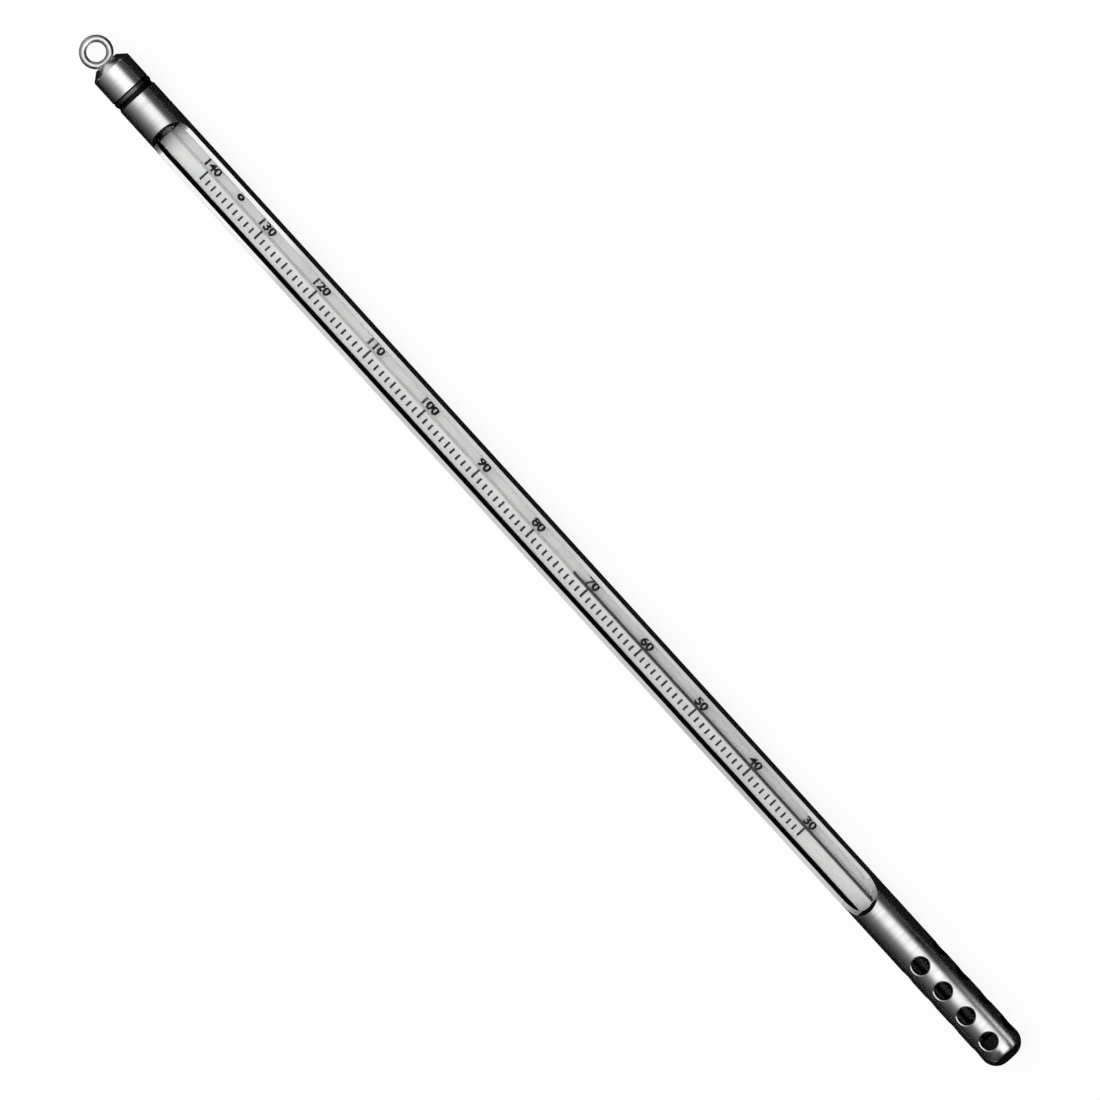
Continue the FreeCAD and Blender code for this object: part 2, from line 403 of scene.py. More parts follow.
@dataclass(frozen=True)
class Enamel:
    """White enamel, mottled, with a painted shadow that greys it towards the end that lies deep in
    the tube.
    """

    start: float
    name: str = "white_enamel"
    colour: Colour = (0.66, 0.66, 0.65)
    shade: Colour = (0.60, 0.60, 0.59)
    # Colour of the painted shadow at the enamel's deep end.
    dull: Colour = grey(0.08)
    reach: float = 6.5 * MM
    fall: float = 1.6
    mottle: tuple[float, float, float] = (160.0, 700.0, 700.0)

    def build(self) -> bpy.types.Material:
        """Make the material."""
        material = bpy.data.materials.new(self.name)
        graph = Graph(material)
        mottle = graph.noise(self.mottle, 3.0).spread(0.3, 0.7, 0.0, 1.0)
        along = graph.make("ShaderNodeSeparateXYZ", None, {0: graph.place()}, "X")
        # Painted shadow: the enamel darkens over its first stretch from the deep end.
        end_shadow = along.spread(self.start, self.start + self.reach, 1.0, 0.0) ** self.fall
        white = graph.tint(mottle, self.colour, self.shade)
        settings = {"data_type": "RGBA"}
        mixed = {0: end_shadow, 6: white, 7: (*self.dull, 1)}
        sockets = {
            "Base Color": graph.make("ShaderNodeMix", settings, mixed, 2),
            "Roughness": mottle.spread(0.0, 1.0, 0.3, 0.4),
        }
        graph.finish(graph.make("ShaderNodeBsdfPrincipled", None, sockets))
        return material


@dataclass(frozen=True)
class Plain:
    """A finish with a mottled colour and roughness and a fine relief."""

    name: str
    colour: Colour
    shade: Colour
    smooth: float
    rough: float
    metallic: float = 0.0
    grain: tuple[float, float, float] = (1500.0, 1500.0, 1500.0)
    relief: float = 0.002 * MM
    shine: float = 0.5

    def tone(self, graph: Graph, amount: Value) -> Value:
        """Mottle the finish's two colours by the amount."""
        return graph.tint(amount, self.colour, self.shade)

    def build(self) -> bpy.types.Material:
        """Make the material."""
        material = bpy.data.materials.new(self.name)
        graph = Graph(material)
        grain = graph.noise(self.grain, 3.0)
        amount = grain.spread(0.3, 0.7, 0.0, 1.0)
        sockets = {
            "Base Color": self.tone(graph, amount),
            "Metallic": self.metallic,
            "Specular IOR Level": self.shine,
            "Roughness": amount.spread(0.0, 1.0, self.smooth, self.rough),
            "Normal": graph.bump(grain, self.relief),
        }
        graph.finish(graph.make("ShaderNodeBsdfPrincipled", None, sockets))
        return material


def plain_metal(
    name: str, colour: Colour, shade: Colour, smooth: float, rough: float
) -> bpy.types.Material:
    """Plain metal finish, as a material.

    Args:
        name: The material's name.
        colour: The first of its two mottled colours.
        shade: The second one.
        smooth: Lowest roughness.
        rough: Highest roughness.

    Returns:
        The material.
    """
    return Plain(name, colour, shade, smooth, rough, metallic=1.0).build()


@dataclass(frozen=True)
class Milled(Plain):
    """Bare milled steel that varies along its length, with a painted highlight that makes it paler
    up to a place.
    """

    pale: float = 0.93
    pale_end: float = 0.0
    fade: float = 8 * MM
    waves: tuple[float, float, float] = (24.0, 1.0, 1.0)
    wave_share: float = 0.7

    def tone(self, graph: Graph, amount: Value) -> Value:
        """Mottle the colours in long waves, and lift them to a painted highlight up to a place.

        Args:
            graph: The material's graph.
            amount: Fine mottle from 0 to 1.

        Returns:
            The colour.
        """
        waves = graph.noise(self.waves, 1.0).spread(0.38, 0.62, 0.0, 1.0)
        share = amount * (1 - self.wave_share) + waves * self.wave_share
        mottled = graph.tint(share, self.colour, self.shade)
        along = graph.make("ShaderNodeSeparateXYZ", None, {0: graph.place()}, "X")
        # Painted highlight: up to a place along the tube the colour is lifted to a pale grey, then
        # fades.
        lift = along.spread(self.pale_end, self.pale_end + self.fade, 1.0, 0.0)
        mixed = {0: lift, 6: mottled, 7: (*grey(self.pale), 1)}
        return graph.make("ShaderNodeMix", {"data_type": "RGBA"}, mixed, 2)


# ---------------------------------------------------------------- mesh writing


class Outline:
    """Profile of a turned piece: points of (place along the axis, distance from it)."""

    def __init__(self, x: float, r: float) -> None:
        """Start the profile.

        Args:
            x: Place along the axis.
            r: Distance from the axis.
        """
        self.points: list[Point] = [(x, r)]

    def line(self, *points: Point) -> "Outline":
        """Go straight to each point in turn.

        Args:
            points: The points.

        Returns:
            This outline.
        """
        self.points.extend(points)
        return self

    def arc(self, centre: Point, end: Point, steps: int = 10, turn: int = 1) -> "Outline":
        """Go round a centre to a point.

        Args:
            centre: Centre of the arc.
            end: Last point of the arc.
            steps: Straight pieces that the arc is made of.
            turn: 1 to turn from X towards the radius, -1 the other way.

        Returns:
            This outline.
        """
        x, r = self.points[-1]
        radius = math.hypot(x - centre[0], r - centre[1])
        first = math.atan2(r - centre[1], x - centre[0])
        last = math.atan2(end[1] - centre[1], end[0] - centre[0])
        sweep = (last - first) % (2 * math.pi)
        sweep = sweep if turn > 0 else sweep - 2 * math.pi
        for step in range(1, steps):
            angle = first + sweep * step / steps
            self.points.append(
                (centre[0] + radius * math.cos(angle), centre[1] + radius * math.sin(angle))
            )
        self.points.append(end)
        return self


def new_object(name: str, mesh: bpy.types.Mesh) -> bpy.types.Object:
    """Put a mesh in the scene.

    Args:
        name: The object's name.
        mesh: Its mesh.

    Returns:
        The object.
    """
    thing = bpy.data.objects.new(name, mesh)
    bpy.context.scene.collection.objects.link(thing)
    return thing


def to_object(name: str, work: bmesh.types.BMesh, crease: float = 32.0) -> bpy.types.Object:
    """Turn a finished bmesh into a smooth-shaded object and free it.

    Args:
        name: The object's name.
        work: The bmesh.
        crease: Angle in degrees past which an edge stays sharp.

    Returns:
        The object.
    """
    mesh = bpy.data.meshes.new(name)
    work.to_mesh(mesh)
    work.free()
    mesh.shade_smooth()
    mesh.set_sharp_from_angle(angle=math.radians(crease))
    return new_object(name, mesh)


def turn(work: bmesh.types.BMesh, outline: Outline, centre: Vector, steps: int) -> None:
    """Spin a closed outline into a solid of revolution about a line along X.

    Args:
        work: The bmesh that the solid goes into.
        outline: The profile, which is closed from its last point to its first.
        centre: A point on the line.
        steps: Pieces in the full turn.
    """
    verts = [work.verts.new((x, centre.y, centre.z + r)) for x, r in outline.points]
    edges = [work.edges.new(pair) for pair in zip(verts, verts[1:] + verts[:1])]
    bmesh.ops.spin(
        work,
        geom=verts + edges,
        cent=centre,
        axis=(1, 0, 0),
        dvec=(0, 0, 0),
        angle=2 * math.pi,
        steps=steps,
        use_merge=True,
        use_duplicate=False,
    )
    bmesh.ops.remove_doubles(work, verts=work.verts, dist=1e-7)
    bmesh.ops.dissolve_degenerate(work, edges=work.edges, dist=1e-8)


def turned(
    name: str, outline: Outline, centre: Vector, steps: int = 96, crease: float = 32.0
) -> bpy.types.Object:
    """Solid of revolution as an object.

    Args:
        name: The object's name.
        outline: Its profile.
        centre: A point on its axis.
        steps: Pieces in the full turn.
        crease: Angle in degrees past which an edge stays sharp.

    Returns:
        The object.
    """
    work = bmesh.new()
    turn(work, outline, centre, steps)
    bmesh.ops.recalc_face_normals(work, faces=work.faces)
    return to_object(name, work, crease)


def combine(
    thing: bpy.types.Object, tools: Iterable[bpy.types.Object], operation: str, crease: float = 32.0
) -> None:
    """Cut or join objects into one, and remove the tools.

    Args:
        thing: The object that stays.
        tools: The objects that are cut from it or joined to it.
        operation: DIFFERENCE or UNION.
        crease: Angle in degrees past which an edge stays sharp.
    """
    tools = list(tools)
    for tool in tools:
        change = thing.modifiers.new(tool.name, "BOOLEAN")
        change.operation = operation
        change.object = tool
        change.solver = "EXACT"
    graph = bpy.context.evaluated_depsgraph_get()
    mesh = bpy.data.meshes.new_from_object(thing.evaluated_get(graph))
    thing.modifiers.clear()
    thing.data = mesh
    mesh.shade_smooth()
    mesh.set_sharp_from_angle(angle=math.radians(crease))
    for tool in tools:
        bpy.data.objects.remove(tool)


def dress(thing: bpy.types.Object, body: str, *materials: bpy.types.Material) -> None:
    """Give a piece its materials and the body that it moves with.

    Args:
        thing: The piece.
        body: The body's name.
        materials: Materials for its slots, in order.
    """
    slots = [face.material_index for face in thing.data.polygons]
    thing.data.materials.clear()
    for material in materials:
        thing.data.materials.append(material)
    thing.data.polygons.foreach_set("material_index", slots)
    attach(thing, body)
    LOG.info("%s: %d faces, on %s", thing.name, len(thing.data.polygons), body)


# ---------------------------------------------------------------- places read from the frame


def ends(node: str) -> tuple[float, float]:
    """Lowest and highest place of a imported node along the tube.

    Args:
        node: The node's name.

    Returns:
        The two places.
    """
    low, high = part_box(node)
    return low.x, high.x


def radius_of(node: str) -> float:
    """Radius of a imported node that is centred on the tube's axis.

    Args:
        node: The node's name.

    Returns:
        The radius.
    """
    low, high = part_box(node)
    return (high.z - low.z) / 2


AXIS = Vector((0, 0, radius_of("case_tube")))


# ---------------------------------------------------------------- case tube


class TubeFace(Enum):
    """Kinds of face on the tube, each with its material slot."""

    STEEL = 0
    # Inside of the tube, drawn near-black: painted shade.
    BORE = 1
    LAND = 2
    # Near-black steel: painted shade in the crimp, the seam, the hole walls and the window's steep
    # ends.
    GRIMED = 3
    # Rim between the mouth and the crimp, in darker steel: painted shade.
    RIM = 4


@dataclass
class CaseTube:
    """The tube with its spun tip, crimp, milled window and side holes."""

    steel: bpy.types.Material
    bore: bpy.types.Material
    milled: bpy.types.Material
    grimed: bpy.types.Material
    stained: bpy.types.Material
    wall: float = 0.95 * MM
    mouth_chamfer: float = 0.15 * MM
    tip_round: float = 4.2 * MM
    crimp_offset: float = 1.7 * MM
    crimp_width: float = 1.4 * MM
    crimp_depth: float = 0.3 * MM
    window_offset: float = 12.3 * MM
    window_height: float = 2.1 * MM
    plain_length: float = 18.26 * MM
    upper_cutter: float = 5.2 * MM
    lower_cutter: float = 11.2 * MM
    hole_radius: float = 2.35 * MM
    hole_pitch: float = 8.36 * MM
    hole_stations: int = 4
    hole_rows: int = 4
    last_hole: float = 6.95 * MM
    hole_chamfer: float = 0.25 * MM
    overrun: float = 1.0 * MM
    level: float = 0.99
    steep: float = 0.6
    upright: float = 0.2
    steps: int = 180
    hole_steps: int = 72

    def __post_init__(self) -> None:
        """Read the places that the rest follows from."""
        self.mouth, self.tip = ends("case_tube")
        self.radius = AXIS.z
        self.inner = self.radius - self.wall
        self.first_hole = self.tip - self.last_hole - (self.hole_stations - 1) * self.hole_pitch
        self.window_start = self.mouth + self.window_offset
        self.window_end = self.first_hole - self.plain_length

    def crimp(self, surface: float) -> tuple[Point, Point, Point]:
        """The crimp's arc on the tube's outer or inner surface.

        Args:
            surface: The surface's radius.

        Returns:
            The arc's start, centre and end.
        """
        half = self.crimp_width / 2
        roll = (half**2 + self.crimp_depth**2) / (2 * self.crimp_depth)
        height = self.radius - self.crimp_depth + roll
        radius = roll + self.radius - surface
        reach = math.sqrt(radius**2 - (height - surface) ** 2)
        middle = self.mouth + self.crimp_offset
        return (middle - reach, surface), (middle, height), (middle + reach, surface)

    def shell(self) -> bpy.types.Object:
        """The tube before it is milled and drilled."""
        round_start = self.tip - self.tip_round
        flat = self.radius - self.tip_round
        outer, inner = self.crimp(self.radius), self.crimp(self.inner)
        outline = Outline(self.mouth, self.inner)
        outline.line((self.mouth, self.radius - self.mouth_chamfer))
        outline.line((self.mouth + self.mouth_chamfer, self.radius), outer[0])
        outline.arc(outer[1], outer[2])
        outline.line((round_start, self.radius))
        outline.arc((round_start, flat), (self.tip, flat), steps=16, turn=-1)
        outline.line((self.tip, 0), (self.tip - self.wall, 0), (self.tip - self.wall, flat))
        outline.arc((round_start, flat), (round_start, self.inner), steps=12)
        outline.line(inner[2])
        outline.arc(inner[1], inner[0], steps=8, turn=-1)
        tube = turned("case_shell", outline, AXIS, self.steps)
        for face in tube.data.polygons:
            middle = face.center - AXIS
            depth = math.hypot(middle.y, middle.z)
            inside = depth < self.inner + self.wall / 4 and middle.x < self.tip - self.wall / 2
            crimped = outer[0][0] < middle.x < outer[2][0]
            rim = self.mouth < middle.x < outer[0][0]
            # The rim between the mouth and the crimp takes the darker steel, a painted shade.
            kind = TubeFace.RIM if rim else TubeFace.STEEL
            # The crimp's groove takes the near-black steel, a painted shade in the groove.
            kind = TubeFace.GRIMED if crimped else kind
            # Faces inside the tube take the near-black bore finish, a painted shade.
            face.material_index = (TubeFace.BORE if inside else kind).value
        return tube

    def window_tool(self) -> bpy.types.Object:
        """Prism that the milling cutter sweeps out of the tube."""
        reach = self.radius + self.overrun
        rise = self.radius - self.window_height
        upper = math.sqrt(self.upper_cutter**2 - (self.upper_cutter - rise) ** 2)
        lower = math.sqrt(self.lower_cutter**2 - (self.lower_cutter - rise) ** 2)
        outline = Outline(self.window_start, reach).line((self.window_start, self.radius))
        entry = (self.window_start + upper, self.window_height + self.upper_cutter)
        outline.arc(entry, (self.window_start + upper, self.window_height), steps=20)
        outline.line((self.window_end - lower, self.window_height))
        leave = (self.window_end - lower, self.window_height + self.lower_cutter)
        outline.arc(leave, (self.window_end, self.radius), steps=20)
        outline.line((self.window_end, reach))
        work = bmesh.new()
        verts = [work.verts.new((x, -reach, AXIS.z + r)) for x, r in outline.points]
        face = work.faces.new(verts)
        swept = bmesh.ops.extrude_face_region(work, geom=[face])
        moved = [item for item in swept["geom"] if isinstance(item, bmesh.types.BMVert)]
        bmesh.ops.translate(work, verts=moved, vec=(0, 2 * reach, 0))
        bmesh.ops.recalc_face_normals(work, faces=work.faces)
        for side in work.faces:
            # Steep faces at the window's ends take the near-black steel, a painted shade.
            kind = TubeFace.GRIMED if abs(side.normal.x) > self.steep else TubeFace.STEEL
            side.material_index = (TubeFace.LAND if side.normal.z < -self.level else kind).value
        return to_object("window_tool", work)

    def hole_tool(self, x: float, row: int) -> bpy.types.Object:
        """Drill with a flare that eases the hole's rim on the tube's round surface.

        Args:
            x: Place of the hole along the tube.
            row: Which of the rows round the tube it is in.

        Returns:
            The tool.
        """
        work = bmesh.new()
        bmesh.ops.create_circle(work, segments=self.hole_steps, radius=self.hole_radius)
        wide = self.hole_radius + self.hole_chamfer
        levels = (
            (self.hole_radius, self.radius - self.hole_chamfer, True),
            (wide, self.radius, True),
            (wide, self.radius + self.overrun, False),
        )
        edges = work.edges[:]
        bmesh.ops.contextual_create(work, geom=edges)
        for reach, height, draped in levels:
            swept = bmesh.ops.extrude_edge_only(work, edges=edges)["geom"]
            ring = [item for item in swept if isinstance(item, bmesh.types.BMVert)]
            edges = [item for item in swept if isinstance(item, bmesh.types.BMEdge)]
            for vert in ring:
                side = Vector((vert.co.x, vert.co.y)).normalized() * reach
                drop = self.radius - math.sqrt(self.radius**2 - side.y**2) if draped else 0.0
                vert.co = (side.x, side.y, height - drop)
        bmesh.ops.contextual_create(work, geom=edges)
        bmesh.ops.recalc_face_normals(work, faces=work.faces)
        for face in work.faces:
            # Upright walls of the hole take the near-black steel, a painted shade inside the hole.
            kind = TubeFace.GRIMED if abs(face.normal.z) < self.upright else TubeFace.STEEL
            face.material_index = kind.value
        turn_row = Matrix.Rotation(math.radians(360 / self.hole_rows * row), 4, "X")
        place = Matrix.Translation((x, 0, AXIS.z)) @ turn_row
        bmesh.ops.transform(work, matrix=place, verts=work.verts)
        return to_object(f"drill_{x:.4f}_{row}", work)

    def build(self) -> bpy.types.Object:
        """Make the tube and dress it."""
        tube = self.shell()
        tools = [self.window_tool()]
        for station in range(self.hole_stations):
            for row in range(self.hole_rows):
                tools.append(self.hole_tool(self.first_hole + station * self.hole_pitch, row))
        finishes = self.steel, self.bore, self.milled, self.grimed, self.stained
        for slot_material in finishes:
            tube.data.materials.append(slot_material)
            for tool in tools:
                tool.data.materials.append(slot_material)
        combine(tube, tools, "DIFFERENCE")
        dress(tube, "case", *finishes)
        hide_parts("case_tube")
        return tube


# ---------------------------------------------------------------- end cap


@dataclass
class EndCap:
    """The turned cap with its dished nose and the spigot inside the tube."""

    steel: bpy.types.Material
    grimed: bpy.types.Material
    nose_radius: float = 3.4 * MM
    cone_length: float = 1.85 * MM
    body_length: float = 7.25 * MM
    seam_chamfer: float = 0.28 * MM
    spigot_clearance: float = 0.03 * MM
    dish_radius: float = 4.45 * MM
    dish_centre: float = 4.3 * MM
    bore_radius: float = 0.9 * MM
    pocket_radius: float = 2.6 * MM
    swivel_play: float = 0.05 * MM
    groove_play: float = 0.04 * MM
    edge: float = 0.08 * MM

    def build(self, tube: CaseTube) -> bpy.types.Object:
        """Make the cap and dress it.

        Args:
            tube: The tube that the cap is crimped into.

        Returns:
            The cap.
        """
        centre = ends("hanging_eye")[0] + self.dish_centre
        seat = ends("eye_washer")[0] - self.swivel_play
        end = ends("end_cap")[1]
        spigot = tube.inner - self.spigot_clearance
        shoulder = tube.mouth - self.body_length
        nose = shoulder - self.cone_length
        rim = math.sqrt(self.dish_radius**2 - (nose - centre) ** 2)
        bottom = centre + math.sqrt(self.dish_radius**2 - self.bore_radius**2)
        groove = tube.crimp(tube.inner)
        sink = self.spigot_clearance + self.groove_play
        outline = Outline(nose, rim)
        outline.line((nose, self.nose_radius - self.edge))
        outline.line((nose + self.edge * 0.7, self.nose_radius))
        outline.line((shoulder - self.edge, tube.radius - self.edge))
        outline.line((shoulder + self.edge, tube.radius))
        outline.line((tube.mouth - self.seam_chamfer, tube.radius))
        outline.line((tube.mouth, tube.radius - self.seam_chamfer), (tube.mouth, spigot))
        outline.line((groove[0][0] - sink, spigot), (groove[0][0], spigot - sink))
        reach = (groove[1][0] + sink, groove[1][1] - sink)
        outline.arc((reach[0] - sink, reach[1]), (groove[2][0], spigot - sink), steps=8)
        outline.line((groove[2][0] + sink, spigot))
        outline.line((end, spigot), (end, self.pocket_radius), (seat, self.pocket_radius))
        outline.line((seat, self.bore_radius), (bottom, self.bore_radius))
        outline.arc((centre, 0), (nose, rim))
        cap = turned("cap_shell", outline, AXIS, steps=128, crease=20.0)
        for face in cap.data.polygons:
            radius = math.hypot(face.center.y, face.center.z - AXIS.z)
            # The cap's seam chamfer takes the near-black steel, a painted shade in the seam.
            at_seam = tube.mouth - self.seam_chamfer < face.center.x < tube.mouth
            face.material_index = 1 if at_seam and radius > spigot else 0
        dress(cap, "case", self.steel, self.grimed)
        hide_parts("end_cap")
        return cap


# ---------------------------------------------------------------- hanging eye


@dataclass
class HangingEye:
    """The wire ring with its shank and the head inside the cap."""

    steel: bpy.types.Material
    ring_radius: float = 4.3 * MM
    wire_radius: float = 0.925 * MM
    shank_radius: float = 0.85 * MM
    head_radius: float = 1.6 * MM
    head_chamfer: float = 0.3 * MM
    turn: float = 16.0

    def build(self) -> bpy.types.Object:
        """Make the eye and dress it."""
        start, end = ends("hanging_eye")
        centre = Vector((start + self.ring_radius, 0, AXIS.z))
        middle = self.ring_radius - self.wire_radius
        work = bmesh.new()
        place = Matrix.Translation((middle, 0, 0)) @ Matrix.Rotation(math.pi / 2, 4, "X")
        bmesh.ops.create_circle(work, segments=40, radius=self.wire_radius, matrix=place)
        bmesh.ops.spin(
            work,
            geom=work.verts[:] + work.edges[:],
            cent=(0, 0, 0),
            axis=(0, 0, 1),
            dvec=(0, 0, 0),
            angle=2 * math.pi,
            steps=96,
            use_merge=True,
            use_duplicate=False,
        )
        tilt = Matrix.Translation(centre) @ Matrix.Rotation(math.radians(-self.turn), 4, "X")
        bmesh.ops.transform(work, matrix=tilt, verts=work.verts)
        bmesh.ops.recalc_face_normals(work, faces=work.faces)
        ring = to_object("eye_ring", work)
        washer_end = ends("eye_washer")[1]
        outline = Outline(centre.x + middle, 0)
        outline.line((centre.x + middle, self.shank_radius), (washer_end, self.shank_radius))
        outline.line((washer_end, self.head_radius), (end - self.head_chamfer, self.head_radius))
        outline.line((end, self.head_radius - self.head_chamfer), (end, 0))
        combine(ring, [turned("eye_shank", outline, AXIS, steps=48)], "UNION")
        dress(ring, "eye", self.steel)
        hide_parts("hanging_eye")
        return ring


# ---------------------------------------------------------------- glass


@dataclass
class GlassStem:
    """The glass rod with the bore and the chamber that its mercury runs in."""

    glass: bpy.types.Material
    bore_wall: bpy.types.Material
    end_round: float = 0.8 * MM
    bore_radius: float = 0.25 * MM
    chamber_radius: float = 0.9 * MM
    chamber_offset: float = 1.0 * MM
    chamber_length: float = 4.0 * MM
    end_skin: float = 0.05 * MM

    def bore_centre(self) -> Vector:
        """A point on the bore's axis."""
        low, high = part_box("mercury_thread")
        return Vector((0, (low.y + high.y) / 2, (low.z + high.z) / 2))

    def cavity(self) -> Outline:
        """Profile of the chamber and the bore below it."""
        start, end = ends("glass_stem")
        top = start + self.chamber_offset
        bottom = top + self.chamber_length
        radius = self.chamber_radius
        outline = Outline(top, 0).arc((top + radius, 0), (top + radius, radius), steps=8, turn=-1)
        outline.line((bottom - radius, radius))
        neck = bottom - radius + math.sqrt(radius**2 - self.bore_radius**2)
        outline.arc((bottom - radius, 0), (neck, self.bore_radius), steps=8, turn=-1)
        foot = end - self.end_skin
        return outline.line((foot, self.bore_radius), (foot, 0))

    def build(self) -> bpy.types.Object:
        """Make the stem and dress it."""
        start, end = ends("glass_stem")
        radius = radius_of("glass_stem")
        outline = Outline(start, 0).line((start, radius - self.end_round))
        centre = (start + self.end_round, radius - self.end_round)
        outline.arc(centre, (start + self.end_round, radius), steps=8, turn=-1)
        outline.line((end, radius), (end, 0))
        work = bmesh.new()
        turn(work, outline, AXIS, 96)
        bmesh.ops.recalc_face_normals(work, faces=work.faces)
        hollow = bmesh.new()
        turn(hollow, self.cavity(), self.bore_centre(), 32)
        bmesh.ops.recalc_face_normals(hollow, faces=hollow.faces)
        bmesh.ops.reverse_faces(hollow, faces=hollow.faces)
        for face in hollow.faces:
            face.material_index = 1
        inner = bpy.data.meshes.new("bore")
        hollow.to_mesh(inner)
        hollow.free()
        work.from_mesh(inner)
        bpy.data.meshes.remove(inner)
        stem = to_object("stem_glass", work, crease=50.0)
        dress(stem, "case", self.glass, self.bore_wall)
        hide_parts("glass_stem")
        return stem


@dataclass
class EnamelRibbon:
    """The white strip in the glass that the mercury is read against."""

    enamel: bpy.types.Material
    width: float = 4.48 * MM
    offset: float = 0.21 * MM
    thickness: float = 0.3 * MM
    back: float = 1.0 * MM
    turn: float = 20.0
    edge: float = 0.06 * MM
    ragged: float = 0.7 * MM

    def build(self) -> bpy.types.Object:
        """Make the ribbon and dress it."""
        start, end = ends("enamel_ribbon")
        start += self.ragged
        work = bmesh.new()
        size = Matrix.Diagonal((end - start, self.width, self.thickness, 1))
        tilt = Matrix.Rotation(math.radians(-self.turn), 4, "X")
        middle = Matrix.Translation(AXIS + Vector(((start + end) / 2, 0, 0)))
        place = middle @ tilt @ Matrix.Translation((0, self.offset, -self.back)) @ size
        bmesh.ops.create_cube(work, size=1.0, matrix=place)
        bmesh.ops.bevel(
            work,
            geom=work.edges[:],
            offset=self.edge,
            offset_type="OFFSET",
            affect="EDGES",
            segments=2,
            profile=0.5,
            material=-1,
        )
        bmesh.ops.recalc_face_normals(work, faces=work.faces)
        ribbon = to_object("ribbon_enamel", work)
        dress(ribbon, "case", self.enamel)
        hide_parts("enamel_ribbon")
        return ribbon


@dataclass
class Bulb:
    """The thin-walled bulb below the stem and the mercury in it."""

    glass: bpy.types.Material
    mercury: bpy.types.Material
    radius: float = 3.1 * MM
    wall: float = 0.5 * MM
    neck_radius: float = 2.4 * MM
    neck_length: float = 1.6 * MM
    shoulder_length: float = 2.0 * MM

    def form(self, inset: float) -> Outline:
        """Profile of the bulb or, drawn in by an inset, of what it holds.

        Args:
            inset: Distance inside the outer surface.

        Returns:
            The profile.
        """
        start, end = ends("glass_bulb")
        neck = start + self.neck_length
        shoulder = neck + self.shoulder_length
        dome = end - self.radius
        side = self.radius - inset
        stem = radius_of("glass_stem")
        outline = Outline(neck, 0) if inset else Outline(start, 0).line((start, stem))
        if not inset:
            outline.line((neck, self.neck_radius))
        outline.line((shoulder, side), (dome, side))
        outline.arc((dome, 0), (dome + side, 0), steps=14, turn=-1)
        return outline

    def build(self) -> tuple[bpy.types.Object, bpy.types.Object]:
        """Make the bulb and its mercury and dress them."""
        work = bmesh.new()
        turn(work, self.form(0.0), AXIS, 72)
        bmesh.ops.recalc_face_normals(work, faces=work.faces)
        bulb = to_object("bulb_glass", work)
        dress(bulb, "case", self.glass)
        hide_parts("glass_bulb")
        work = bmesh.new()
        turn(work, self.form(self.wall), AXIS, 72)
        bmesh.ops.recalc_face_normals(work, faces=work.faces)
        fill = to_object("bulb_mercury", work)
        dress(fill, "case", self.mercury)
        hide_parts("mercury_reservoir")
        return bulb, fill


@dataclass
class MercuryColumn:
    """The mercury in the bore: a fixed thread, and a top that rides on the column's body."""

    mercury: bpy.types.Material
    overlap: float = 0.002 * MM
    root_depth: float = 20.0 * MM
    lap: float = 0.2 * MM
    rings: int = 90
    steps: int = 24
    crease: float = 60.0

    def build(self, stem: GlassStem) -> tuple[bpy.types.Object, bpy.types.Object]:
        """Make the thread and its moving top and dress them.

        Args:
            stem: The stem whose bore holds the mercury.

        Returns:
            The thread and the top.
        """
        centre = stem.bore_centre()
        radius = stem.bore_radius + self.overlap
        top, slug_end = ends("mercury_meniscus")
        root = ends("mercury_thread")[1] + self.root_depth
        outline = Outline(slug_end, 0)
        for ring in range(self.rings + 1):
            outline.line((slug_end + (root - slug_end) * ring / self.rings, radius))
        outline.line((root, 0))
        thread = turned("thread_mercury", outline, centre, self.steps, self.crease)
        thread.data.materials.append(self.mercury)
        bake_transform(thread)
        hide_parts("mercury_thread")
        outline = Outline(top, 0).arc((top + radius, 0), (top + radius, radius), steps=8, turn=-1)
        outline.line((slug_end + self.lap, radius), (slug_end + self.lap, 0))
        head = turned("meniscus_mercury", outline, centre, self.steps, self.crease)
        dress(head, "column", self.mercury)
        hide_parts("mercury_meniscus")
        return thread, head


# ---------------------------------------------------------------- printed scale


class Mark(Enum):
    """Kinds of mark on the scale, with the angle in degrees at which each ends."""

    DEGREE = 7.5
    FIVE = 13.0
    TEN = 26.0


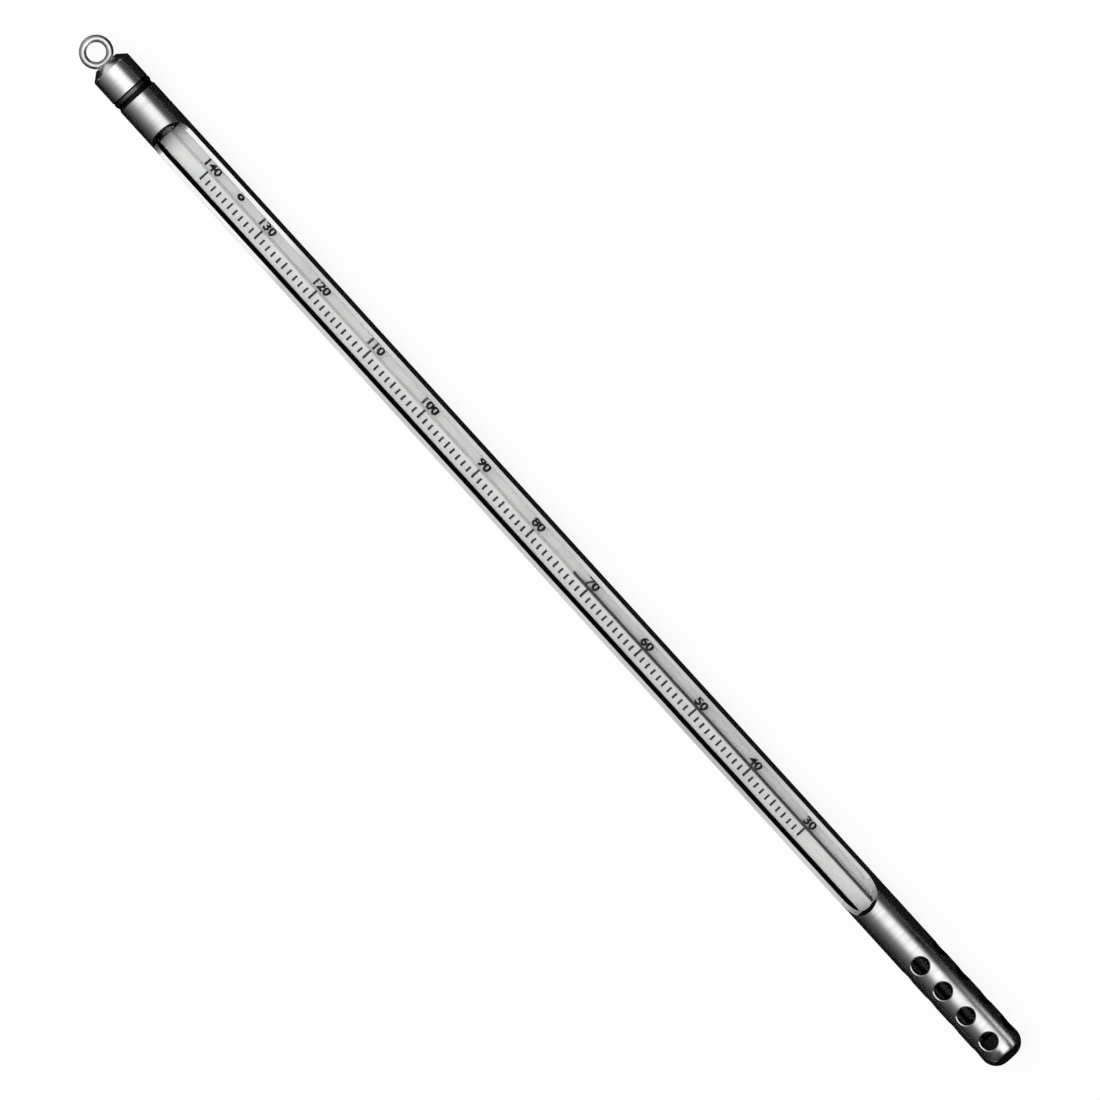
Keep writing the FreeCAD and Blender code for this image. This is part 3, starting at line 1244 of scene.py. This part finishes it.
@dataclass
class PrintedScale:
    """Black marks and numerals fired on to the front of the stem."""

    ink: bpy.types.Material
    low_offset: float = 26.1 * MM
    pitch: float = 1.9895 * MM
    low: int = 30
    high: int = 140
    first_angle: float = -23.0
    mark_width: float = 0.5 * MM
    ten_width: float = 0.56 * MM
    sunk: float = 0.01 * MM
    proud: float = 0.02 * MM
    numeral_angle: float = 59.0
    numeral_height: float = 2.8 * MM
    numeral_width: float = 0.95
    numeral_weight: float = 0.035
    capital_height: float = 0.73
    unit_reading: float = 134.9
    unit_scale: float = 1.7

    def station(self, tube: CaseTube, reading: float) -> float:
        """Place of a reading along the tube.

        Args:
            tube: The tube whose window ends below the scale.
            reading: The reading in degrees.

        Returns:
            The place.
        """
        return tube.window_end - self.low_offset - (reading - self.low) * self.pitch

    def marks(self, tube: CaseTube) -> bpy.types.Object:
        """All the marks as one piece of short bars bent round the glass.

        Args:
            tube: The tube whose window the scale stands in.

        Returns:
            The piece.
        """
        radius = radius_of("glass_stem")
        work = bmesh.new()
        for reading in range(self.low, self.high + 1):
            kind = Mark.TEN if reading % 10 == 0 else Mark.FIVE if reading % 5 == 0 else Mark.DEGREE
            width = self.ten_width if kind is Mark.TEN else self.mark_width
            x = self.station(tube, reading)
            lift = Vector((x, 0, radius + (self.proud - self.sunk) / 2))
            first = Matrix.Rotation(math.radians(-self.first_angle), 4, "X")
            start = Matrix.Translation(AXIS) @ first @ Matrix.Translation(lift)
            size = Matrix.Diagonal((width, self.proud + self.sunk, 1, 1))
            flat = start @ Matrix.Rotation(math.pi / 2, 4, "X") @ size
            grid = bmesh.ops.create_grid(work, x_segments=1, y_segments=1, size=0.5, matrix=flat)
            faces = list({face for vert in grid["verts"] for face in vert.link_faces})
            bmesh.ops.spin(
                work,
                geom=faces,
                cent=AXIS,
                axis=(1, 0, 0),
                dvec=(0, 0, 0),
                angle=math.radians(self.first_angle - kind.value),
                steps=6,
                use_merge=False,
                use_duplicate=False,
            )
        bmesh.ops.recalc_face_normals(work, faces=work.faces)
        return to_object("scale_marks", work)

    def numerals(self, tube: CaseTube) -> bpy.types.Object:
        """All the numerals as one piece wrapped round the glass.

        Args:
            tube: The tube whose window the scale stands in.

        Returns:
            The piece.
        """
        work = bmesh.new()
        for reading in range(self.low, self.high + 1, 10):
            self.add_label(work, str(reading), self.station(tube, reading), 1.0)
        unit_place = self.station(tube, self.unit_reading)
        self.add_label(work, "\N{DEGREE SIGN}", unit_place, self.unit_scale)
        bmesh.ops.recalc_face_normals(work, faces=work.faces)
        return to_object("scale_numerals", work)

    def add_label(self, work: bmesh.types.BMesh, text: str, x: float, zoom: float) -> None:
        """Add one label to the numerals.

        Args:
            work: The bmesh of the numerals.
            text: The label.
            x: Its middle along the tube.
            zoom: Its size as a share of the numerals' size.
        """
        curve = bpy.data.curves.new("label", "FONT")
        curve.body = text
        curve.align_x = "CENTER"
        curve.align_y = "CENTER"
        curve.size = 1.0
        curve.offset = self.numeral_weight
        curve.resolution_u = 4
        letters = new_object("label", curve)
        bpy.context.view_layer.update()
        graph = bpy.context.evaluated_depsgraph_get()
        mesh = bpy.data.meshes.new_from_object(letters.evaluated_get(graph))
        bpy.data.objects.remove(letters)
        known = len(work.verts)
        work.from_mesh(mesh)
        bpy.data.meshes.remove(mesh)
        work.verts.ensure_lookup_table()
        verts = work.verts[known:]
        heights = [vert.co.y for vert in verts]
        middle = Vector((0, (min(heights) + max(heights)) / 2, 0))
        for vert in verts:
            vert.co = (vert.co - middle) * zoom
        self.wrap(work, verts, x)

    def wrap(self, work: bmesh.types.BMesh, verts: list[bmesh.types.BMVert], x: float) -> None:
        """Bend flat letters round the glass and give them a thickness.

        Args:
            work: The bmesh that they are in.
            verts: Their vertices, flat on the XY plane.
            x: Where their middle goes along the tube.
        """
        radius = radius_of("glass_stem")
        scale = self.numeral_height / self.capital_height
        faces = list({face for vert in verts for face in vert.link_faces})
        bmesh.ops.remove_doubles(work, verts=verts, dist=1e-4)
        faces = [face for face in faces if face.is_valid]
        solid = bmesh.ops.extrude_face_region(work, geom=faces)
        raised = [item for item in solid["geom"] if isinstance(item, bmesh.types.BMVert)]
        lifted = set(raised)
        base = {vert for face in faces if face.is_valid for vert in face.verts}
        for vert in base | lifted:
            out = radius + (self.proud if vert in lifted else -self.sunk)
            angle = math.radians(self.numeral_angle) + vert.co.y * scale / radius
            along = x + vert.co.x * scale * self.numeral_width
            place = (along, math.sin(angle) * out, AXIS.z + math.cos(angle) * out)
            vert.co = place

    def build(self, tube: CaseTube) -> tuple[bpy.types.Object, bpy.types.Object]:
        """Make the marks and numerals and dress them.

        Args:
            tube: The tube whose window the scale stands in.

        Returns:
            The marks and the numerals.
        """
        pieces = self.marks(tube), self.numerals(tube)
        for piece in pieces:
            dress(piece, "case", self.ink)
        return pieces


# ---------------------------------------------------------------- studio


@dataclass
class LightTent:
    """Dome that only polished surfaces mirror: a long bright strip that fades at both sides.

    The glow is a level for each angle round the tube, in degrees from the direction that the
    camera stands in, positive towards the numerals' side. Other places are in metres.
    """

    turn_from_window: float
    radius: float = 0.7
    strip_end: float = 0.26
    strip_fade: float = 0.42
    glow: tuple[tuple[float, float], ...] = (
        (-180.0, 0.003),
        (-120.0, 0.005),
        (-97.0, 0.032),
        (-70.0, 0.14),
        (-46.0, 0.33),
        (-32.0, 0.66),
        (-18.0, 1.18),
        (-6.0, 1.5),
        (17.0, 1.5),
        (25.0, 1.3),
        (33.0, 0.62),
        (42.0, 0.12),
        (60.0, 0.055),
        (95.0, 0.032),
        (130.0, 0.004),
        (180.0, 0.003),
    )
    tip_reach: float = 0.6
    tip_fade: float = 0.06
    core_side: float = 0.04
    core_width: tuple[float, float] = (0.19, 0.27)
    left_edge: tuple[float, float] = (-40.0, -12.0)
    tip_shade: tuple[float, float, float] = (0.12, 0.187, 0.65)
    cap_place: tuple[float, float] = (-0.115, -0.145)
    cap_glow: float = 0.4
    end_place: tuple[float, float] = (0.27, 0.37)
    end_height: float = 0.5
    horizon: float = 0.02
    far_strip: float = 0.15
    end_glow: tuple[float, float] = (0.38, 0.12)

    def finish(self) -> bpy.types.Material:
        """Make the dome's graded light."""
        material = bpy.data.materials.new("graded_tent")
        graph = Graph(material)
        place = graph.make("ShaderNodeTexCoord", output="Object")
        x, y, z = (
            graph.make("ShaderNodeSeparateXYZ", None, {0: place}, axis) for axis in ("X", "Y", "Z")
        )
        round_tube = graph.make("ShaderNodeMath", {"operation": "ARCTAN2"}, {0: y, 1: z})
        angle = round_tube * (180 / math.pi) - self.turn_from_window
        share = angle.spread(-180.0, 180.0, 0.0, 1.0)
        stops = [((degrees + 180) / 360, level) for degrees, level in self.glow]
        strip = graph.make("ShaderNodeValToRGB", {"stops": stops}, {0: share})
        tilt = math.radians(self.turn_from_window)
        lateral = y * math.cos(tilt) - z * math.sin(tilt)
        core = abs(lateral - self.core_side).spread(*self.core_width, 1.0, 0.0)
        fade = abs(x).spread(self.strip_end, self.strip_fade, 1.0, 0.0)
        tip_fade = x.spread(self.tip_reach, self.tip_reach + self.tip_fade, 1.0, 0.0)
        far_end = (1 - fade) * (x < 0) * self.far_strip
        strip = strip * (fade + tip_fade * core * (x > 0) + far_end).spread(0.0, 1.0, 0.0, 1.0)
        left = angle.spread(*self.left_edge, 1.0, 0.0)
        shade_start, shade_end, shade = self.tip_shade
        strip = strip * (1 - left * x.spread(shade_start, shade_end, 0.0, shade))
        strip = strip * (1 + left * x.spread(*self.cap_place, 0.0, self.cap_glow))
        above = z.spread(0.0, self.end_height, 0.3, 1.0) * (z > self.horizon)
        ends_glow = abs(x).spread(*self.end_place, 0.0, 1.0) * above
        ends_glow = ends_glow * x.spread(-0.1, 0.1, *self.end_glow) * tip_fade
        light = {"Color": strip + ends_glow, "Strength": 1.0}
        graph.finish(graph.make("ShaderNodeEmission", None, light))
        material.cycles.emission_sampling = "NONE"
        return material

    def build(self) -> bpy.types.Object:
        """Make the dome."""
        work = bmesh.new()
        bmesh.ops.create_uvsphere(work, u_segments=48, v_segments=24, radius=self.radius)
        bmesh.ops.reverse_faces(work, faces=work.faces)
        dome = to_object("light_tent", work, crease=180.0)
        dome.data.materials.append(self.finish())
        return dome


@dataclass
class TipLight:
    """Narrow bright card beside the tip, whose light line the tip mirrors."""

    turn_from_window: float
    angle: float = 55.5
    distance: float = 50.0 * MM
    width: float = 15.0 * MM
    start: float = 130.0 * MM
    full: float = 167.0 * MM
    end: float = 232.0 * MM
    straight: float = 3.0 * MM
    bend: float = 24.0 * MM
    level: float = 1.05
    power: float = 2.6
    steps: int = 12

    def finish(self) -> bpy.types.Material:
        """Make the card's light, which grows towards the tip."""
        material = bpy.data.materials.new("graded_card")
        graph = Graph(material)
        along = graph.make("ShaderNodeSeparateXYZ", None, {0: graph.place()}, "X")
        level = along.spread(self.start, self.full, 0.0, 1.0) ** self.power * self.level
        graph.finish(graph.make("ShaderNodeEmission", None, {"Color": level, "Strength": 1.0}))
        material.cycles.emission_sampling = "NONE"
        return material

    def build(self) -> bpy.types.Object:
        """Make the card, which bends to the side past the tip."""
        work = bmesh.new()
        centre = ((self.start + self.end) / 2, 0, self.distance)
        size = Matrix.Diagonal((self.end - self.start, self.width, 1, 1))
        place = Matrix.Translation(centre) @ size
        bmesh.ops.create_grid(work, x_segments=self.steps, y_segments=1, size=0.5, matrix=place)
        bend_start = self.full + self.straight
        for vert in work.verts:
            share = max(0.0, vert.co.x - bend_start) / (self.end - bend_start)
            vert.co.y += self.bend * share**2
        angle = math.radians(self.angle + self.turn_from_window)
        side = Matrix.Translation(AXIS) @ Matrix.Rotation(-angle, 4, "X")
        bmesh.ops.transform(work, matrix=side, verts=work.verts)
        card = to_object("low_light", work)
        card.data.materials.append(self.finish())
        return card


@dataclass
class Studio:
    """Floor, light tent, cards, lamp and camera."""

    turn_from_window: float = 16.0
    diagonal: float = 47.7
    lens: float = 900.0
    sensor: float = 36.0
    frame_width: float = 271.5 * MM
    aim_right: float = 0.48 * MM
    aim_down: float = 0.35 * MM
    room_light: float = 0.5
    key_power: float = 13.5
    shadow_share: float = 0.10
    card_gap: float = 2.4 * MM
    card_height: float = 0.25 * MM
    card_reach: float = 450.0 * MM
    eye_card_end: float = -197.0 * MM
    under_eye_end: float = -163.0 * MM
    tip_card_start: float = 165.0 * MM
    tip_card_end: float = 300.0 * MM
    key_place: tuple[float, float, float] = (-0.35, -0.2, 1.3)
    key_size: float = 1.4

    def floor(self) -> None:
        """Pale floor under the thermometer, which keeps a light shadow."""
        work = bmesh.new()
        bmesh.ops.create_grid(work, x_segments=1, y_segments=1, size=6.0)
        floor = to_object("floor", work)
        material = bpy.data.materials.new("pale_floor")
        graph = Graph(material)
        mottle = graph.noise((30.0, 30.0, 30.0), 3.0).spread(0.3, 0.7, 0.0, 1.0)
        colour = graph.tint(mottle, grey(0.96), grey(0.95))
        paper = graph.make("ShaderNodeBsdfDiffuse", None, {"Color": colour})
        white = graph.make("ShaderNodeEmission", None, {"Color": (*grey(1.0), 1), "Strength": 1.0})
        share = graph.seen_rays() * (1 - self.shadow_share)
        graph.finish(graph.make("ShaderNodeMixShader", None, {0: share, 1: paper, 2: white}))
        floor.data.materials.append(material)

    def only_mirrored(self, card: bpy.types.Object) -> None:
        """Let a card show in polished surfaces and nowhere else.

        Args:
            card: The card.
        """
        card.visible_camera = False
        card.visible_diffuse = False
        card.visible_transmission = False
        card.visible_shadow = False
        card.visible_volume_scatter = False

    def dark_cards(self, reach: float) -> None:
        """Dark cards on the floor at both sides of the tube and past its tip.

        Args:
            reach: How far they reach out.
        """
        black = grey(0.006), grey(0.004)
        material = Plain("dark_card", *black, smooth=0.9, rough=0.95, shine=0.0).build()
        gap, start, end = self.card_gap, self.eye_card_end, self.tip_card_end
        cards = {
            "dark_card_left": (start, end, -reach, -gap),
            "dark_card_right": (start, end, gap, reach),
            "dark_card_eye": (start, self.under_eye_end, -gap, gap),
            "dark_card_tip": (self.tip_card_start, end, -gap, gap),
        }
        for name, (x_low, x_high, y_low, y_high) in cards.items():
            work = bmesh.new()
            middle = Vector(((x_low + x_high) / 2, (y_low + y_high) / 2, self.card_height))
            size = Matrix.Diagonal((x_high - x_low, y_high - y_low, 1, 1))
            place = Matrix.Translation(middle) @ size
            bmesh.ops.create_grid(work, x_segments=1, y_segments=1, size=0.5, matrix=place)
            card = to_object(name, work)
            card.data.materials.append(material)
            self.only_mirrored(card)

    def lamp(self, name: str, place: Vector, size: float, power: float) -> None:
        """Soft lamp that points at the thermometer.

        Args:
            name: Its name.
            place: Where it stands.
            size: Its width.
            power: Its power in watts.
        """
        light = bpy.data.lights.new(name, "AREA")
        light.shape = "SQUARE"
        light.size = size
        light.energy = power
        lamp = bpy.data.objects.new(name, light)
        bpy.context.scene.collection.objects.link(lamp)
        lamp.location = place
        lamp.rotation_mode = "QUATERNION"
        lamp.rotation_quaternion = (-place).to_track_quat("-Z", "Y")
        lamp.visible_camera = False
        lamp.visible_glossy = False

    def world(self) -> None:
        """Even pale room, white where it is seen."""
        world = bpy.data.worlds.new("pale_room")
        bpy.context.scene.world = world
        graph = Graph(world)
        seen = graph.tint(graph.seen_rays(), grey(self.room_light), grey(1.0))
        background = graph.make("ShaderNodeBackground", None, {"Color": seen, "Strength": 1.0})
        graph.finish(background, "ShaderNodeOutputWorld")

    def camera(self) -> None:
        """Long-lens camera square to the tube, rolled so that the tube lies on the diagonal."""
        tilt = math.radians(self.turn_from_window)
        roll = math.radians(self.diagonal)
        along = Vector((1, 0, 0))
        beside = Vector((0, math.cos(tilt), -math.sin(tilt)))
        back = Vector((0, math.sin(tilt), math.cos(tilt)))
        right = math.cos(roll) * along + math.sin(roll) * beside
        up = math.cos(roll) * beside - math.sin(roll) * along
        data = bpy.data.cameras.new("camera")
        data.lens = self.lens
        data.sensor_width = self.sensor
        distance = self.lens / self.sensor * self.frame_width
        data.clip_end = 100.0
        camera = bpy.data.objects.new("camera", data)
        bpy.context.scene.collection.objects.link(camera)
        turned_axes = Matrix((right, up, back)).transposed().to_4x4()
        target = AXIS + right * self.aim_right - up * self.aim_down
        camera.matrix_world = Matrix.Translation(target + back * distance) @ turned_axes
        bpy.context.scene.camera = camera

    def build(self) -> None:
        """Set the whole stage."""
        self.floor()
        tent = LightTent(self.turn_from_window)
        self.only_mirrored(tent.build())
        self.dark_cards(self.card_reach)
        self.only_mirrored(TipLight(self.turn_from_window).build())
        self.world()
        self.lamp("key_lamp", Vector(self.key_place), self.key_size, self.key_power)
        self.camera()
        bpy.context.scene.view_settings.view_transform = "Standard"


# ---------------------------------------------------------------- putting it together


def dress_packing() -> None:
    """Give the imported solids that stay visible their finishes."""
    black = grey(0.009), grey(0.005)
    rubber = Plain("black_rubber", *black, smooth=0.6, rough=0.8, shine=0.1).build()
    dull = grey(0.6), grey(0.5)
    washer = plain_metal("washer_steel", *dull, smooth=0.3, rough=0.45)
    finishes = {
        "top_cushion": rubber,
        "upper_bushing": rubber,
        "lower_bushing": rubber,
        "tip_cushion": rubber,
        "eye_washer": washer,
    }
    for node, material in finishes.items():
        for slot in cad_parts[node].material_slots:
            slot.material = material
        LOG.info("%s: packed solid in %s", node, material.name)


def main() -> None:
    """Build every sub-assembly in order, then the stage."""
    logging.basicConfig(level=logging.INFO, format="%(name)s: %(message)s")
    polished = Steel("polished_stainless").build()
    turned_cap = Steel("turned_stainless", grey(0.80), grey(0.67), smooth=0.13, rough=0.23).build()
    wire = Steel("drawn_wire", smooth=0.07, rough=0.14).build()
    # Near-black steel for the crimp, seam, hole walls and window ends: painted shade.
    grimed = plain_metal("painted_shade_steel", grey(0.02), grey(0.008), smooth=0.35, rough=0.5)
    # Darker steel for the rim beside the seam: painted shade.
    stained = plain_metal("painted_shade_rim", grey(0.16), grey(0.09), smooth=0.22, rough=0.3)
    # Mercury drawn near-black: its dark reflection is painted into its colour.
    mercury = plain_metal("mercury", grey(0.022), grey(0.018), smooth=0.12, rough=0.18)
    # Darker copy of the mercury for the bulb: painted shade inside the bulb.
    shaded_mercury = plain_metal("mercury_painted_shade", grey(0.010), grey(0.007), smooth=0.2, rough=0.26)
    # Near-black, dull inside of the tube: painted shade where the bore lies in shadow.
    dark = grey(0.006), grey(0.003)
    bore = Plain("painted_shade_bore", *dark, smooth=0.6, rough=0.8, shine=0.02).build()
    milled = Milled(
        "milled_steel",
        grey(0.78),
        grey(0.50),
        smooth=0.2,
        rough=0.32,
        metallic=0.5,
        grain=(60.0, 4000.0, 4000.0),
        # Where the painted highlight on the lands ends.
        pale_end=ends("case_tube")[0] + 53 * MM,
    ).build()
    enamel = Enamel(ends("enamel_ribbon")[0]).build()
    ink = Plain("scale_ink", grey(0.012), grey(0.02), smooth=0.4, rough=0.55).build()
    glass = Glass().build()
    thin_glass = Glass("bulb_glass", grey(0.8), index=1.2).build()
    tube = CaseTube(polished, bore, milled, grimed, stained)
    tube.build()
    EndCap(turned_cap, grimed).build(tube)
    HangingEye(wire).build()
    stem = GlassStem(glass, BoreWall().build())
    stem.build()
    EnamelRibbon(enamel).build()
    Bulb(thin_glass, shaded_mercury).build()
    MercuryColumn(mercury).build(stem)
    PrintedScale(ink).build(tube)
    dress_packing()
    Studio().build()


if __name__ == "__main__":
    main()
